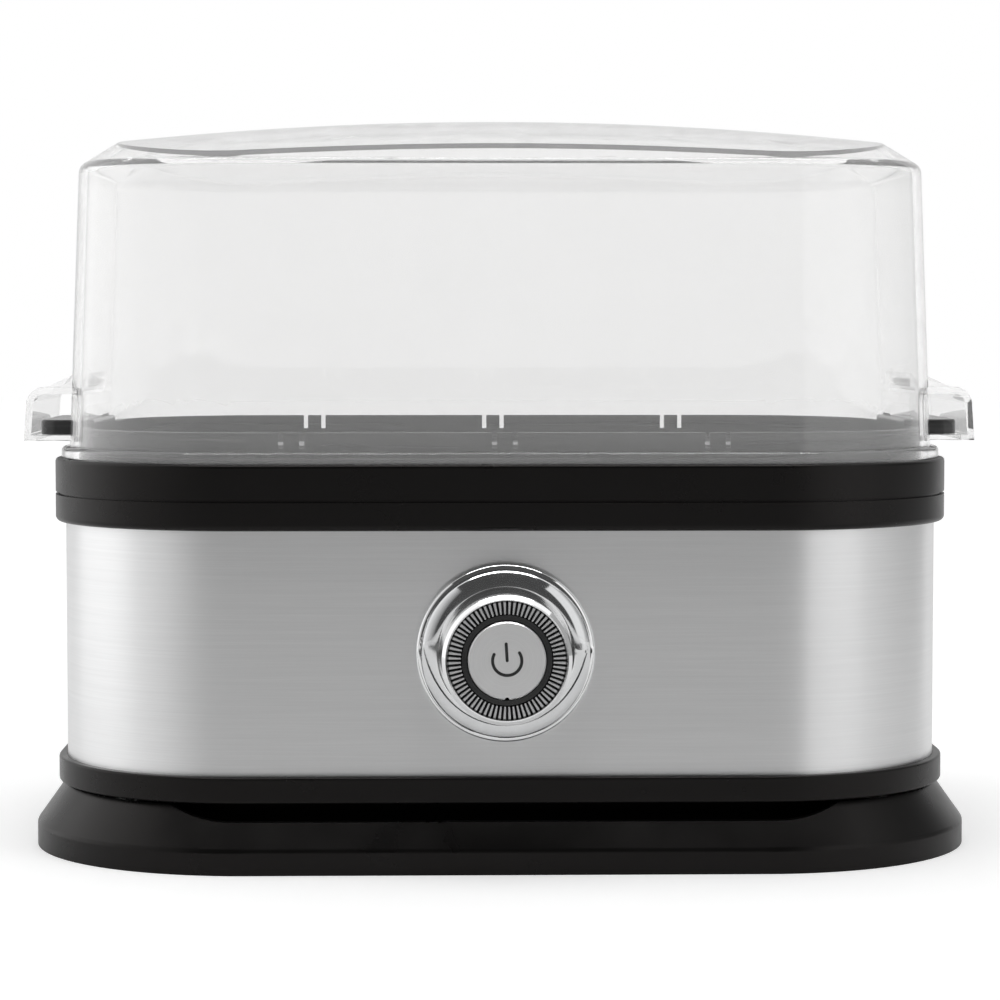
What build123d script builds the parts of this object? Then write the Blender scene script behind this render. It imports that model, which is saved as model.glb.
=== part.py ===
"""Electric egg cooker for six eggs, as an assembly of separate pieces.

Millimetres, +Z up, the front with the dial faces -Y. The origin is the middle
of the footprint on the worktop. Every rounded plan outline is the steel
sleeve's outline, grown outwards or inwards by a named amount.
"""

from build123d import *
import math
import os

# Driving dimensions: the steel sleeve's outside and the stack of heights
body_width = 193.5
body_depth = 135.0
body_corner = 41.75
steel_show = 51.9

# Clearances shared by the whole assembly
overrun = 2.0
fit_gap = 0.1
run_gap = 0.05
slide_gap = 0.25
loose_gap = 0.5

# Flared foot that stands on the worktop
foot_overhang = 6.75
foot_rim_height = 5.2
foot_flare_height = 8.6
foot_top_overhang = 0.6
foot_crease = 1.6
foot_wall = 2.2
foot_land = 5.0
foot_recess = 2.6
foot_plate = 2.0
scoop_width = 142.0
scoop_depth = 3.2
scoop_run = 13.0
vent_length = 30.0
vent_width = 3.0
vent_pitch = 8.0
vent_count = 5
pad_radius = 7.0
pad_reach = 32.0

# Lower pan: floor, lip round the steel and neck down to the foot
pan_gap = 0.5
pan_overhang = 1.9
pan_lip_height = 5.6
pan_floor = 2.5
pan_edge = 0.6
pan_lip_edge = 0.5
neck_inset = 11.0
neck_wall = 2.5

# Steel sleeve and the moulded liner behind it
steel_sheet = 0.6
liner_wall = 2.0
post_radius = 3.2

# Collar rings above the steel
collar_overhang = 2.25
collar_wall = 2.0
collar_overlap = 2.2
collar_deck = 2.0
lower_collar_height = 6.0
lower_collar_edge = 1.2
groove_height = 0.6
groove_depth = 0.9
upper_collar_height = 7.4
upper_collar_plate = 2.3
upper_collar_edge = 0.8

# Heating dish, its seal and the ledge that carries it
dish_inset = 11.0
dish_sheet = 0.8
dish_depth = 12.3
dish_draft_run = 3.0
dish_flange = 5.0
ledge_width = 2.5
seal_thickness = 1.2
seal_margin = 0.5

# Heater under the dish
spreader_margin = 4.0
spreader_thickness = 1.5
element_radius = 3.2
element_inset = 24.0
element_opening = 30.0
bead_radius = 2.6
bead_length = 5.0
pin_radius = 1.4
pin_length = 6.0
thermostat_radius = 8.5
thermostat_cap = 5.0
thermostat_body_radius = 7.5
thermostat_body = 4.0
blade_width = 6.3
blade_thickness = 0.8
blade_length = 8.0
blade_spacing = 9.0
strap_length = 46.0
strap_edge = 1.0
strap_sheet = 0.8
strap_foot_radius = 3.0
fuse_radius = 2.0
fuse_length = 11.0
fuse_offset = 22.0
clip_width = 6.0
clip_sheet = 0.6
clip_foot = 4.0

# Egg tray
tray_floor = 1.8
tray_rim_height = 6.5
tray_rim_wall = 1.6
tray_lip_depth = 3.0
tray_lip_wall = 1.5
seat_radius = 18.5
seat_foot_radius = 12.5
seat_depth = 11.0
seat_wall = 1.6
seat_edge_gap = 5.0
seat_columns = 3
steam_hole_radius = 4.0
slit_width = 1.1
slit_depth = 3.3
slit_pair_spacing = 4.4
slit_pitch = 45.0
lug_height = 3.3
lug_lift = 4.6
lug_width = 40.0
lug_reach = 10.2
lug_corner = 4.0
lug_wall = 1.5
lug_edge = 0.6

# Clear lid
lid_wall = 2.0
lid_tray_gap = 0.5
lid_draft_share = 0.04
lid_wall_height = 64.0
lid_bevel_run = 10.5
lid_bevel_rise = 6.5
lid_edge = 2.6
lid_inner_edge = 0.9
lid_height = 75.5
crown_length_sag = 4.8
crown_edge_sag = 1.6
crown_depth_sag = 10.6
lid_flange = 1.8
lid_flange_height = 2.6
lid_flange_edge = 1.2
lid_flange_foot = 0.4
hood_reach = 10.5
hood_lean = 0.8
hood_width = 50.0
hood_wall = 1.5
hood_height = 15.3
hood_corner = 3.8
hood_rib_height = 3.3
hood_rib_reach = 7.0
hood_rib_width = 36.0
ear_lift = 3.4
ear_thickness = 1.2
vent_hole_radius = 2.5
vent_hole_spacing = 50.0

# Dial on the front, measured outwards from the steel
dial_rise = 0.3
bezel_radius = 18.9
bezel_dish_radius = 13.9
bezel_crown_radius = 17.8
bezel_floor = 0.8
bezel_rise = 2.4
bezel_edge = 1.3
bezel_dish_sag = 0.45
bezel_crown_sag = 0.3
bezel_sleeve_radius = 12.4
bezel_sleeve = 9.0
nut_radius = 16.0
nut_thickness = 3.2
knob_radius = 13.45
knob_reach = 16.6
knob_clearance = 0.3
knob_chamfer = 0.75
knob_lip = 0.3
knob_face_drop = 0.5
hub_radius = 10.6
hub_bore = 9.55
tooth_count = 72
tooth_depth = 0.5
tooth_width = 0.56
retainer_radius = 12.2
retainer_thickness = 1.0
retainer_groove = 0.3
retainer_play = 0.2

# Light guide, button, spring and switch inside the dial
guide_radius = 9.35
guide_wall = 1.05
guide_drop = 1.0
guide_ledge = 1.0
guide_ledge_drop = 19.6
button_drop = 0.1
button_face = 2.0
button_skirt = 6.0
button_skirt_wall = 1.0
button_edge = 0.3
button_notch = 0.5
button_travel = 1.5
stem_radius = 2.4
spring_wire_radius = 0.35
spring_radius = 4.4
spring_turns = 4
switch_side = 6.0
switch_height = 3.8
switch_bore_radius = 1.9
switch_floor = 0.3
plunger_radius = 1.7
plunger_bottom_gap = 0.1
press_margin = 0.2

# Control board on bosses of the liner, measured inwards from the steel
board_standoff = 12.0
board_thickness = 1.6
board_width = 64.0
board_height = 40.0
board_corner = 2.0
boss_radius = 3.5
boss_spread = 26.0
boss_rise = 14.0
selector_radius = 16.0
selector_height = 3.5
led_side = 1.0
led_height = 0.8
led_count = 4
led_notch = 1.6
buzzer_radius = 6.0
buzzer_height = 7.0
buzzer_hole_radius = 1.0
relay_width = 15.0
relay_length = 19.0
relay_height = 15.0

# Screws
screw_radius = 1.4
screw_clearance = 0.2
screw_pilot_gap = 0.05
screw_head_radius = 2.8
screw_head = 1.8
screw_bite = 8.0
screw_slot_width = 0.8
screw_slot_depth = 0.7
base_boss_radius = 4.0
base_boss_reach = 20.0

# Mains side at the rear
gland_height = 36.0
gland_flange_radius = 8.5
gland_flange = 2.2
gland_edge = 0.6
gland_radius = 6.5
gland_bore_radius = 3.3
gland_tail_radius = 5.5
gland_tail = 9.0
gland_inner_flange = 1.8
block_width = 34.0
block_depth = 16.0
block_height = 14.0
block_wall_gap = 13.0
block_well_radius = 2.6
block_well_depth = 5.0
block_pitch = 10.0
lead_radius = 1.1
lead_bend = 5.0
lead_spacing = 8.0
lead_drop = 14.0
lead_run = 10.0

# Heights worked out from the stack
foot_plate_top = foot_recess + foot_plate
foot_top = foot_rim_height + foot_flare_height
pan_bottom = foot_top + pan_gap
pan_floor_top = pan_bottom + pan_floor
pan_lip_top = pan_bottom + pan_lip_height
collar_bottom = pan_lip_top + steel_show
sleeve_top = collar_bottom + collar_overlap
deck_bottom = sleeve_top + fit_gap
deck_top = deck_bottom + collar_deck
groove_bottom = collar_bottom + lower_collar_height
groove_top = groove_bottom + groove_height
seat_level = groove_top + upper_collar_height
plate_bottom = seat_level - upper_collar_plate
dish_top = plate_bottom - seal_thickness
dish_flange_bottom = dish_top - dish_sheet
dish_floor_top = dish_top - dish_depth
dish_floor_bottom = dish_floor_top - dish_sheet
spreader_bottom = dish_floor_bottom - spreader_thickness
element_level = spreader_bottom - fit_gap - element_radius
tray_floor_top = seat_level + tray_floor
lid_top = seat_level + lid_height

# Amounts that outlines are grown by, worked out from the sleeve
liner_grow = -steel_sheet - fit_gap
liner_inner_grow = liner_grow - liner_wall
skirt_grow = collar_overhang - collar_wall
spigot_grow = collar_overhang - groove_depth
ledge_inner_grow = fit_gap - dish_inset
ledge_grow = ledge_inner_grow + ledge_width
dish_inner_grow = -dish_inset - dish_sheet
dish_floor_grow = -dish_inset - dish_draft_run
tray_lip_grow = dish_inner_grow - loose_gap
lid_foot_grow = collar_overhang - upper_collar_edge - lid_flange - lid_tray_gap
lid_inner_grow = lid_foot_grow - lid_wall
tray_grow = lid_inner_grow - lid_tray_gap

# Places worked out from the outlines
half_width = body_width / 2
half_depth = body_depth / 2
control_level = (pan_lip_top + collar_bottom) / 2 + dial_rise
post_reach = body_corner + ledge_grow + screw_head_radius + slide_gap
liner_depth = steel_sheet + fit_gap + liner_wall
board_face = -liner_depth - board_standoff
board_back = board_face - board_thickness
switch_top = board_face + switch_height
stem_end = switch_top + button_travel + press_margin
knob_base = bezel_floor + knob_clearance
button_front = knob_reach - button_drop
guide_bore = guide_radius - guide_wall
button_radius = guide_bore - slide_gap
ledge_top = knob_reach - guide_ledge_drop
tray_half_width = half_width + tray_grow
lug_bottom = seat_level + lug_lift
lug_top = lug_bottom + lug_height
seat_pitch = half_width + dish_floor_grow - dish_sheet - seat_edge_gap - seat_radius - seat_wall
seat_row = half_depth + dish_floor_grow - dish_sheet - seat_edge_gap - seat_radius - seat_wall
stand = (Align.CENTER, Align.CENTER, Align.MIN)

front = Plane(origin=(0, -half_depth, control_level), x_dir=(1, 0, 0), z_dir=(0, -1, 0))
rear = Plane(origin=(0, half_depth, gland_height), x_dir=(-1, 0, 0), z_dir=(0, 1, 0))


def outline(grow):
    """Rounded plan outline, grown from the steel sleeve's outside."""
    return RectangleRounded(body_width + 2 * grow, body_depth + 2 * grow, body_corner + grow)


def block(grow, low, high):
    """Solid of the plan outline between two heights."""
    return Pos(0, 0, low) * extrude(outline(grow), high - low)


def band(outer, inner, low, high):
    """Ring between two plan outlines and two heights."""
    return Pos(0, 0, low) * extrude(outline(outer) - outline(inner), high - low)


def taper(low_grow, low, high_grow, high):
    """Solid that runs straight from one plan outline to another."""
    sections = [Pos(0, 0, low) * outline(low_grow), Pos(0, 0, high) * outline(high_grow)]
    return loft(sections, ruled=True)


def post(radius, low, high):
    """Upright cylinder between two heights."""
    return Pos(0, 0, low) * Cylinder(radius, high - low, align=stand)


def ring(radius, bore, low, high):
    """Upright tube between two heights."""
    return Pos(0, 0, low) * extrude(Circle(radius) - Circle(bore), high - low)


def turned(*edges):
    """Solid turned about Z from edges drawn as radius and height."""
    return revolve(Plane.XZ * make_face(edges), Axis.Z)


def corner_spots(reach):
    """The four places that lie diagonally out from the outline's corner centres."""
    x = half_width - body_corner + reach * math.cos(math.radians(45))
    y = half_depth - body_corner + reach * math.sin(math.radians(45))
    return [Pos(i * x, j * y) for i in (-1, 1) for j in (-1, 1)]


def screw(length):
    """Slotted screw that stands on its head's upper face, with the shank upwards."""
    head = post(screw_head_radius, -screw_head, 0)
    slot = Box(2 * screw_head_radius, screw_slot_width, screw_slot_depth, align=stand)
    return head + post(screw_radius, 0, length) - Pos(0, 0, -screw_head) * slot


def lead(points):
    """Insulated wire along straight runs joined by arcs."""
    path = FilletPolyline(*points, radius=lead_bend)
    return sweep((path ^ 0) * Circle(lead_radius), path=path)


def make_base_foot():
    """Flared foot: rim, sloping wall, floor plate and a scooped edge front and rear."""
    inner_grow = foot_overhang - foot_wall
    foot = block(foot_overhang, 0, foot_rim_height)
    foot += taper(foot_overhang, foot_rim_height, foot_top_overhang, foot_top)
    crease = foot.edges().filter_by(lambda edge: abs(edge.center().Z - foot_rim_height) < fit_gap)
    foot = fillet(crease, foot_crease)
    foot -= block(inner_grow, foot_plate_top, foot_rim_height)
    foot -= taper(inner_grow, foot_rim_height, foot_top_overhang - foot_wall, foot_top)
    foot -= block(foot_overhang - foot_land, -overrun, foot_recess)
    scoop_end = scoop_width / 2
    scoop_foot = scoop_end - scoop_run
    scoop_floor = foot_top - scoop_depth
    scoop_radius = (scoop_run**2 + scoop_depth**2) / (2 * scoop_depth)
    half_turn = math.asin(scoop_run / scoop_radius) / 2
    bend = scoop_foot + scoop_radius * math.sin(half_turn)
    bend_level = scoop_floor + scoop_radius * (1 - math.cos(half_turn))
    scoop = [
        ThreePointArc((-scoop_end, foot_top), (-bend, bend_level), (-scoop_foot, scoop_floor)),
        Line((-scoop_foot, scoop_floor), (scoop_foot, scoop_floor)),
        ThreePointArc((scoop_foot, scoop_floor), (bend, bend_level), (scoop_end, foot_top)),
        Polyline(
            (scoop_end, foot_top),
            (scoop_end, foot_top + overrun),
            (-scoop_end, foot_top + overrun),
            (-scoop_end, foot_top),
        ),
    ]
    foot -= extrude(Plane.XZ * make_face(scoop), body_depth, both=True)
    vent = extrude(SlotOverall(vent_length, vent_width), foot_plate + 2 * overrun)
    for row in (-1, 1):
        for step in range(vent_count):
            y = (step - (vent_count - 1) / 2) * vent_pitch
            foot -= Pos(row * vent_length, y, foot_recess - overrun) * vent
    hole = post(screw_radius + screw_clearance, 0, foot_top)
    for spot in corner_spots(base_boss_reach):
        foot -= spot * hole
    return foot


def make_rubber_feet():
    """Four pads in the foot's recess, flush with its rim."""
    pad = chamfer(post(pad_radius, 0, foot_recess).edges().group_by(Axis.Z)[0], fit_gap)
    return [spot * pad for spot in corner_spots(pad_reach)]


def make_base_screws():
    """Screws up through the foot's plate into the pan's bosses."""
    lift = Pos(0, 0, foot_recess)
    return [spot * lift * screw(screw_bite) for spot in corner_spots(base_boss_reach)]


def make_lower_pan():
    """Pan that closes the housing below: floor, lip round the steel, neck and bosses."""
    pan = block(pan_overhang, pan_bottom, pan_lip_top)
    pan = fillet(pan.edges().group_by(Axis.Z)[0], pan_edge)
    pan = fillet(pan.edges().group_by(Axis.Z)[-1], pan_lip_edge)
    pan -= block(fit_gap, pan_floor_top, pan_lip_top)
    pan += band(-neck_inset, -neck_inset - neck_wall, foot_plate_top, pan_bottom)
    pilot = screw_radius + screw_pilot_gap
    boss = ring(base_boss_radius, pilot, foot_plate_top, pan_bottom)
    for spot in corner_spots(base_boss_reach):
        pan += spot * boss
    hole = post(screw_radius + screw_clearance, pan_bottom - overrun, pan_floor_top + overrun)
    for spot in corner_spots(post_reach):
        pan -= spot * hole
    return pan


def wall_openings(wall):
    """A wall with the dial's hole at the front and the cord gland's at the rear."""
    dial_hole = post(bezel_sleeve_radius + fit_gap, -liner_depth - overrun, overrun)
    gland_hole = post(gland_radius + fit_gap, -liner_depth - overrun, overrun)
    return wall - front * dial_hole - rear * gland_hole


def make_steel_sleeve():
    """Brushed steel wrapper that stands in the pan's lip."""
    return wall_openings(band(0, -steel_sheet, pan_floor_top, sleeve_top))


def boss_spots():
    """The control board's four bosses, seen on the front plane."""
    return [Pos(i * boss_spread, j * boss_rise) for i in (-1, 1) for j in (-1, 1)]


def make_inner_liner():
    """Moulded wall behind the steel, with four corner posts and the control board's bosses."""
    liner = band(liner_grow, liner_inner_grow, pan_floor_top, sleeve_top)
    column = ring(post_radius, screw_radius + screw_pilot_gap, pan_floor_top, sleeve_top)
    core = post(screw_radius + screw_pilot_gap, pan_floor_top, sleeve_top)
    for spot in corner_spots(post_reach):
        liner += spot * column
        liner -= spot * core
    liner = wall_openings(liner)
    boss = ring(boss_radius, screw_radius + screw_pilot_gap, board_face, -liner_depth)
    for spot in boss_spots():
        liner += front * (spot * boss)
    return liner


def make_lower_collar():
    """Lower ring: skirt over the steel, deck with four screw holes, lip and dish ledge."""
    collar = block(collar_overhang, collar_bottom, deck_top)
    collar = fillet(collar.edges().group_by(Axis.Z)[0], lower_collar_edge)
    collar -= block(skirt_grow, collar_bottom, deck_bottom)
    collar -= block(ledge_inner_grow, deck_bottom, deck_top)
    collar += band(collar_overhang, spigot_grow + fit_gap, deck_top, groove_bottom)
    collar += band(ledge_grow, ledge_inner_grow, deck_top, dish_flange_bottom)
    hole = post(screw_radius + screw_clearance, deck_bottom - overrun, deck_top + overrun)
    for spot in corner_spots(post_reach):
        collar -= spot * hole
    return collar


def make_collar_screws():
    """Screws down through the lower collar's deck into the liner's posts."""
    lift = Pos(0, 0, deck_top) * Rot(180, 0, 0)
    return [spot * lift * screw(screw_bite) for spot in corner_spots(post_reach)]


def make_pan_screws():
    """Screws up through the pan's floor into the liner's posts."""
    lift = Pos(0, 0, pan_bottom)
    return [spot * lift * screw(screw_bite) for spot in corner_spots(post_reach)]


def make_upper_collar():
    """Upper ring: outer wall, spigot into the lower ring and the plate over the dish."""
    collar = block(collar_overhang, groove_top, seat_level)
    collar = fillet(collar.edges().group_by(Axis.Z)[-1], upper_collar_edge)
    collar -= block(skirt_grow, groove_top, plate_bottom)
    collar -= block(dish_inner_grow, plate_bottom, seat_level)
    return collar + band(spigot_grow, skirt_grow, deck_top, groove_top)


def make_heating_dish():
    """Pressed steel water dish with a flange that hangs on the lower collar's ledge."""
    dish = taper(dish_floor_grow, dish_floor_bottom, -dish_inset, dish_top)
    dish += block(dish_flange - dish_inset, dish_flange_bottom, dish_top)
    return dish - taper(dish_floor_grow - dish_sheet, dish_floor_top, dish_inner_grow, dish_top)


def make_dish_seal():
    """Silicone ring between the dish's flange and the upper collar's plate."""
    outer = dish_flange - dish_inset - seal_margin
    return band(outer, dish_inner_grow + seal_margin, dish_top, plate_bottom)


def make_heat_spreader():
    """Aluminium plate bonded under the dish."""
    return block(dish_floor_grow - spreader_margin, spreader_bottom, dish_floor_bottom)


def element_half():
    """Half the length and half the depth of the heating element's loop."""
    return half_width - element_inset, half_depth - element_inset


def make_heating_element():
    """Tubular element bent into a loop that is open at the rear."""
    x, y = element_half()
    end = element_opening / 2
    corners = [(end, y), (x, y), (x, -y), (-x, -y), (-x, y), (-end, y)]
    path = FilletPolyline(*corners, radius=body_corner - element_inset)
    path = Pos(0, 0, element_level) * path
    return sweep((path ^ 0) * Circle(element_radius), path=path)


def make_element_pins():
    """Ceramic bead and pin on each end of the element."""
    x, y = element_half()
    end = element_opening / 2
    bead = Cylinder(bead_radius, bead_length, align=stand)
    pin = Cylinder(pin_radius, bead_length + pin_length, align=stand)
    return [
        Pos(side * end, y, element_level) * Rot(0, -side * 90, 0) * (bead + pin) for side in (-1, 1)
    ]


def make_thermostat():
    """Disc thermostat against the spreader, with two blade terminals downwards."""
    cap_bottom = spreader_bottom - thermostat_cap
    body_bottom = cap_bottom - thermostat_body
    disc = post(thermostat_radius, cap_bottom, spreader_bottom)
    disc += post(thermostat_body_radius, body_bottom, cap_bottom)
    blade = Box(blade_thickness, blade_width, blade_length, align=stand)
    for side in (-1, 1):
        disc += Pos(side * blade_spacing / 2, 0, body_bottom - blade_length) * blade
    return disc


def make_thermostat_strap():
    """Sheet strap that holds the thermostat's cap up, on two spacer feet."""
    strap_top = spreader_bottom - thermostat_cap
    strap_hole = thermostat_body_radius + fit_gap
    strap_half = strap_hole + strap_edge
    strap = extrude(SlotOverall(strap_length, 2 * strap_half) - Circle(strap_hole), strap_sheet)
    strap = Pos(0, 0, strap_top - strap_sheet) * strap
    foot_place = strap_length / 2 - strap_half
    for side in (-1, 1):
        strap += Pos(side * foot_place, 0) * post(strap_foot_radius, strap_top, spreader_bottom)
    return strap


def make_thermal_fuse():
    """Cut-out fuse that lies along X under the spreader."""
    level = spreader_bottom - fuse_radius - fit_gap
    fuse = Rot(0, 90, 0) * Cylinder(fuse_radius, fuse_length)
    return Pos(0, fuse_offset, level) * fuse


def make_fuse_clip():
    """Saddle clip round the fuse, with two feet on the spreader."""
    bore = fuse_radius + fit_gap
    level = spreader_bottom - fuse_radius - fit_gap
    outer = bore + clip_sheet
    saddle = Circle(outer) + Pos(0, outer / 2) * Rectangle(2 * outer, outer)
    feet = Pos(0, bore - clip_sheet / 2) * Rectangle(2 * (outer + clip_foot), clip_sheet)
    saddle = saddle + feet - Circle(bore) - Pos(0, outer) * Rectangle(2 * bore, 2 * outer)
    trim = Pos(0, bore + outer) * Rectangle(4 * (outer + clip_foot), 2 * outer)
    clip = extrude(Plane.YZ * (saddle - trim), clip_width / 2, both=True)
    return Pos(0, fuse_offset, level) * clip


def seat_spots():
    """Places of the egg seats: two rows of three."""
    middle = (seat_columns - 1) / 2
    return [Pos((i - middle) * seat_pitch, j * seat_row) for i in range(seat_columns) for j in (-1, 1)]


def tray_lug():
    """Hollow-backed finger lug on the tray's right side."""
    inner_end = tray_half_width - tray_rim_wall
    length = tray_rim_wall + lug_reach
    plan = Pos(inner_end + length / 2, 0) * Rectangle(length, lug_width)
    plan = fillet(plan.vertices().group_by(Axis.X)[-1], lug_corner)
    lug = Pos(0, 0, lug_bottom) * extrude(plan, lug_height)
    lug = fillet(lug.edges().group_by(Axis.Z)[-1], lug_edge)
    pocket_length = lug_reach - lug_wall
    pocket = Box(pocket_length, lug_width - 2 * lug_corner, lug_height - lug_wall, align=stand)
    return lug - Pos(tray_half_width + pocket_length / 2, 0, lug_bottom) * pocket


def make_egg_tray():
    """Tray with six tapered seats, a slit rim, a locating lip and two lugs."""
    tray = block(tray_grow, seat_level, tray_floor_top)
    tray += band(tray_grow, tray_grow - tray_rim_wall, tray_floor_top, seat_level + tray_rim_height)
    tray += band(tray_lip_grow, tray_lip_grow - tray_lip_wall, seat_level - tray_lip_depth, seat_level)
    lug = tray_lug()
    tray += lug
    tray += mirror(lug, about=Plane.YZ)
    seat_bottom = tray_floor_top - seat_depth
    seat = turned(
        Polyline(
            (seat_foot_radius, seat_bottom),
            (seat_foot_radius + seat_wall, seat_bottom),
            (seat_radius + seat_wall, tray_floor_top),
            (seat_radius, tray_floor_top),
            close=True,
        )
    )
    clearing = post(seat_radius + seat_wall / 2, seat_level, tray_floor_top)
    for spot in seat_spots():
        tray -= spot * clearing
        tray += spot * seat
    steam_hole = post(steam_hole_radius, seat_level - overrun, tray_floor_top + overrun)
    for side in (-1, 1):
        tray -= Pos(side * seat_pitch / 2, 0) * steam_hole
    slit = Box(slit_width, 2 * body_depth, slit_depth + overrun, align=stand)
    slit_bottom = seat_level + tray_rim_height - slit_depth
    for step in (-1, 0, 1):
        for side in (-1, 1):
            tray -= Pos(step * slit_pitch + side * slit_pair_spacing / 2, 0, slit_bottom) * slit
    return tray


def crown(top):
    """Roof solid that curves down from its middle, with a flatter arc along front and rear."""
    half_x = half_width - lid_bevel_run
    reach = half_width + foot_overhang
    base = top - lid_height - overrun

    def section(level, sag):
        radius = (half_x**2 + sag**2) / (2 * sag)
        end = level - radius + math.sqrt(radius**2 - reach**2)
        profile = make_face(
            [
                ThreePointArc((-reach, end), (0, level), (reach, end)),
                Polyline((reach, end), (reach, base), (-reach, base), (-reach, end)),
            ]
        )
        return Plane.XZ * profile

    edge = section(top - crown_depth_sag, crown_edge_sag)
    return loft([Pos(0, -half_depth) * edge, section(top, crown_length_sag), Pos(0, half_depth) * edge])


def lid_form(skin, low, edge):
    """Lid's body, set in by skin: drafted wall, rounded and bevelled shoulder, crowned roof."""

    def wall_grow(level):
        return lid_foot_grow - lid_draft_share * (level - seat_level) - skin

    wall = taper(wall_grow(low), low, wall_grow(lid_top), lid_top)
    slope = math.atan2(lid_bevel_rise, lid_bevel_run)
    shoulder = seat_level + lid_wall_height - skin / math.cos(slope)
    shoulder_grow = wall_grow(seat_level + lid_wall_height) + skin
    sections = []
    for level in (low - overrun, lid_top):
        grow = shoulder_grow - (level - shoulder) / math.tan(slope)
        sections.append(Pos(0, 0, level) * outline(grow))
    form = wall & loft(sections, ruled=True)
    ridges = form.edges().filter_by(lambda ridge: abs(ridge.center().Z - shoulder) < lid_bevel_rise / 2)
    return fillet(ridges, edge) & crown(lid_top - skin)


def lid_hood():
    """Arched handle on the lid's right side, open at both ends."""
    root = half_width + lid_foot_grow - lid_wall / 2
    tip = half_width + lid_foot_grow + hood_reach
    bottom = seat_level + ear_lift
    roof = seat_level + hood_height

    def arch(skin, foot):
        lean = hood_lean * (bottom - foot) / (roof - bottom)
        corners = [
            (root - skin, foot),
            (tip - skin + lean, foot),
            (tip - skin - hood_lean, roof - skin),
            (root - skin, roof - skin),
        ]
        face = make_face(Polyline(*corners, close=True))
        shoulder = face.vertices().group_by(Axis.Y)[-1].sort_by(Axis.X)[-1]
        return Plane.XZ * fillet(shoulder, hood_corner - skin)

    hood = extrude(arch(0, bottom), hood_width / 2, both=True)
    hood -= extrude(arch(hood_wall, bottom - overrun), hood_width, both=True)
    rib = Polyline((root, roof), (root + hood_rib_reach, roof), (root, roof + hood_rib_height), close=True)
    hood += extrude(Plane.XZ * make_face(rib), hood_rib_width / 2, both=True)
    ears = Box(tip - root, hood_width, ear_thickness, align=(Align.MIN, Align.CENTER, Align.MIN))
    return hood + Pos(root, 0, bottom) * ears


def make_lid():
    """Clear lid: body, flanged foot, two arched handles and two steam vents."""
    flange = block(lid_foot_grow + lid_flange, seat_level, seat_level + lid_flange_height)
    flange = fillet(flange.edges().group_by(Axis.Z)[-1], lid_flange_edge)
    flange = fillet(flange.edges().group_by(Axis.Z)[0], lid_flange_foot)
    hood = lid_hood()
    lid = lid_form(0, seat_level, lid_edge) + flange + hood + mirror(hood, about=Plane.YZ)
    lid -= lid_form(lid_wall, seat_level - overrun, lid_inner_edge)
    notch_end = half_width + lid_foot_grow + hood_reach - hood_lean - hood_wall
    notch_length = notch_end - (half_width + lid_inner_grow - lid_wall)
    notch_width = lug_width + 2 * lid_tray_gap
    notch_height = lug_top + loose_gap - seat_level
    notch = Box(notch_length, notch_width, notch_height + overrun, align=stand)
    for side in (-1, 1):
        lid -= Pos(side * (notch_end - notch_length / 2), 0, seat_level - overrun) * notch
        vent = post(vent_hole_radius, lid_top - lid_height / 2, lid_top + overrun)
        lid -= Pos(side * vent_hole_spacing / 2, 0) * vent
    return lid


def make_dial_bezel():
    """Chrome dished ring with a sleeve through the wall, which is the dial's bearing."""
    bore = hub_radius + run_gap
    dish_middle = (
        (bezel_dish_radius + bezel_crown_radius) / 2 + bezel_dish_sag / 2,
        (bezel_floor + bezel_rise) / 2 - bezel_dish_sag,
    )
    crown_middle = (
        (bezel_crown_radius + bezel_radius) / 2 + bezel_crown_sag / 2,
        (bezel_rise + bezel_edge) / 2 + bezel_crown_sag,
    )
    bezel = turned(
        Polyline((bezel_radius, bezel_edge), (bezel_radius, 0), (bezel_sleeve_radius, 0)),
        Polyline((bezel_sleeve_radius, 0), (bezel_sleeve_radius, -bezel_sleeve), (bore, -bezel_sleeve)),
        Polyline((bore, -bezel_sleeve), (bore, bezel_floor), (bezel_dish_radius, bezel_floor)),
        ThreePointArc((bezel_dish_radius, bezel_floor), dish_middle, (bezel_crown_radius, bezel_rise)),
        ThreePointArc((bezel_crown_radius, bezel_rise), crown_middle, (bezel_radius, bezel_edge)),
    )
    return front * bezel


def make_bezel_nut():
    """Hexagon nut that clamps the bezel behind the liner."""
    nut = RegularPolygon(nut_radius, 6) - Circle(bezel_sleeve_radius + fit_gap)
    return front * (Pos(0, 0, -liner_depth - nut_thickness) * extrude(nut, nut_thickness))


def make_dial_knob():
    """Turned knob on its hub, with a ring of fine teeth round the front face."""
    face = knob_reach - knob_face_drop
    lip = knob_radius - knob_chamfer
    face_radius = lip - knob_lip
    hub_end = board_face + loose_gap
    groove_top_level = -bezel_sleeve - retainer_play
    groove_low_level = groove_top_level - retainer_thickness
    knob = turned(
        Polyline(
            (hub_bore, hub_end),
            (hub_radius, hub_end),
            (hub_radius, groove_low_level),
            (hub_radius - retainer_groove, groove_low_level),
            (hub_radius - retainer_groove, groove_top_level),
            (hub_radius, groove_top_level),
            (hub_radius, knob_base),
            (knob_radius, knob_base),
            (knob_radius, knob_reach - knob_chamfer),
            (lip, knob_reach),
            (face_radius, knob_reach),
            (face_radius, face),
            (hub_bore, face),
            close=True,
        )
    )
    notch = Polyline((-tooth_width, tooth_depth), (tooth_width, tooth_depth), (0, -tooth_depth), close=True)
    tooth = Pos(hub_bore - tooth_depth, 0, face) * extrude(
        Plane.YZ * make_face(notch), face_radius - hub_bore + tooth_depth
    )
    knob -= [Rot(0, 0, 360 * step / tooth_count) * tooth for step in range(tooth_count)]
    return front * knob


def make_dial_retainer():
    """Open snap ring in the hub's groove, behind the bezel's sleeve."""
    low = -bezel_sleeve - retainer_play - retainer_thickness
    clip = ring(retainer_radius, hub_radius - retainer_groove, low, low + retainer_thickness)
    gap = Box(hub_radius, hub_bore, 2 * retainer_thickness)
    return front * (clip - Pos(0, -retainer_radius, low) * gap)


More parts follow.
